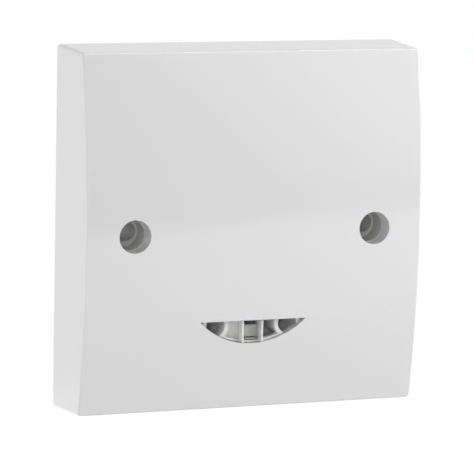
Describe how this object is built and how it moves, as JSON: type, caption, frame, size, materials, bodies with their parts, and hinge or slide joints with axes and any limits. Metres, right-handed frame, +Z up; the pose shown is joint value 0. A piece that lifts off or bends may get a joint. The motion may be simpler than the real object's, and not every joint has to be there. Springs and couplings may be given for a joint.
{
  "type": "microwave presence detector",
  "caption": "Square white single-gang wall detector with a crowned front, two deep screw holes, a smile-shaped sensor slot and a rear box with screw terminals.",
  "frame": {"origin": "centre of the wall plane that the plate's back rests on, midway between the two fixing screws", "axes": "+X to the right as seen from the room, +Y into the wall, +Z up"},
  "size_m": [0.086, 0.044, 0.086],
  "materials": {
    "cover_white": "glossy white moulding",
    "housing_grey": "fine matte grey moulding",
    "baffle_white": "white moulding",
    "lens_frosted": "pale frosted plastic",
    "receiver_smoke": "dark infrared resin",
    "sensor_clear": "clear resin",
    "led_white": "white lamp body with clear resin",
    "board_green": "green solder mask",
    "board_pale": "microwave laminate",
    "copper_gilt": "gilt copper",
    "chip_black": "black epoxy",
    "chip_brown": "ceramic chips",
    "bright_metal": "tinned steel",
    "header_black": "black plastic strip with gilt pins",
    "spacer_white": "nylon",
    "relay_black": "black relay moulding",
    "bobbin_cream": "cream nylon",
    "enamelled_copper": "enamelled wire",
    "plated_iron": "nickel-plated iron",
    "ferrite": "dark ferrite",
    "tape_yellow": "yellow polyester tape",
    "can_sleeve": "dark sleeve",
    "film_case": "grey box",
    "varistor_blue": "blue coating",
    "fuse_black": "black fuse body",
    "terminal_plastic": "pale terminal moulding",
    "plated_steel": "zinc-plated steel",
    "plated_brass": "nickel-plated brass"
  },
  "bodies": {
    "housing": {"front_cover": "cover_white", "rear_housing": "housing_grey", "sensor_baffle": "baffle_white", "ir_lens": "lens_frosted", "ir_receiver": "receiver_smoke", "light_sensor": "sensor_clear", "status_led": "led_white", "control_board": "board_green", "microcontroller": "chip_black", "chip_components": "chip_brown", "crystal": "bright_metal", "antenna_board": "board_pale", "antenna_patches": "copper_gilt", "radar_shield": "bright_metal", "radar_header": "header_black", "antenna_spacers": "spacer_white", "board_socket": "header_black", "board_header": "header_black", "power_board": "board_green", "relay_base": "relay_black", "relay_case": "relay_black", "relay_bobbin": "bobbin_cream", "relay_winding": "enamelled_copper", "relay_yoke": "plated_iron", "relay_fixed_contact": "copper_gilt", "transformer_core": "ferrite", "transformer_winding": "tape_yellow", "bulk_capacitor": "can_sleeve", "output_capacitor": "can_sleeve", "suppression_capacitor": "film_case", "varistor": "varistor_blue", "fuse": "fuse_black", "choke": "ferrite", "bridge_rectifier": "chip_black", "power_controller": "chip_black", "terminal_block": "terminal_plastic", "terminal_bars": "copper_gilt", "cover_screws": "plated_steel", "control_board_screws": "plated_steel", "power_board_screws": "plated_steel"},
    "relay_armature": {"relay_armature": "plated_iron", "relay_contact_spring": "copper_gilt"},
    "terminal_screw_1": {"terminal_screw_1": "plated_steel"},
    "terminal_clamp_1": {"terminal_clamp_1": "plated_brass"},
    "terminal_screw_2": {"terminal_screw_2": "plated_steel"},
    "terminal_clamp_2": {"terminal_clamp_2": "plated_brass"},
    "terminal_screw_3": {"terminal_screw_3": "plated_steel"},
    "terminal_clamp_3": {"terminal_clamp_3": "plated_brass"}
  },
  "joints": [
    {"name": "relay_tilt", "type": "hinge", "parent": "housing", "child": "relay_armature", "pos_m": [-0.01425, 0.018, 0.0124], "axis": [-1, 0, 0], "range_deg": [0, 3.4], "stiffness_Nm_per_rad": 0.1, "springref_deg": -2.86},
    {"name": "screw_1_turn", "type": "hinge", "parent": "housing", "child": "terminal_screw_1", "pos_m": [-0.0075, 0.0201, -0.0226], "axis": [0, -1, 0], "range_deg": [0, 1801]},
    {"name": "clamp_1_rise", "type": "slide", "parent": "housing", "child": "terminal_clamp_1", "axis": [0, 1, 0], "range_m": [0, 0.003]},
    {"name": "screw_2_turn", "type": "hinge", "parent": "housing", "child": "terminal_screw_2", "pos_m": [0, 0.0201, -0.0226], "axis": [0, -1, 0], "range_deg": [0, 1801]},
    {"name": "clamp_2_rise", "type": "slide", "parent": "housing", "child": "terminal_clamp_2", "axis": [0, 1, 0], "range_m": [0, 0.003]},
    {"name": "screw_3_turn", "type": "hinge", "parent": "housing", "child": "terminal_screw_3", "pos_m": [0.0075, 0.0201, -0.0226], "axis": [0, -1, 0], "range_deg": [0, 1801]},
    {"name": "clamp_3_rise", "type": "slide", "parent": "housing", "child": "terminal_clamp_3", "axis": [0, 1, 0], "range_m": [0, 0.003]}
  ],
  "couplings": [
    {"joint": "screw_1_turn", "follows": "clamp_1_rise", "rad_per_m": 10472},
    {"joint": "screw_2_turn", "follows": "clamp_2_rise", "rad_per_m": 10472},
    {"joint": "screw_3_turn", "follows": "clamp_3_rise", "rad_per_m": 10472}
  ]
}
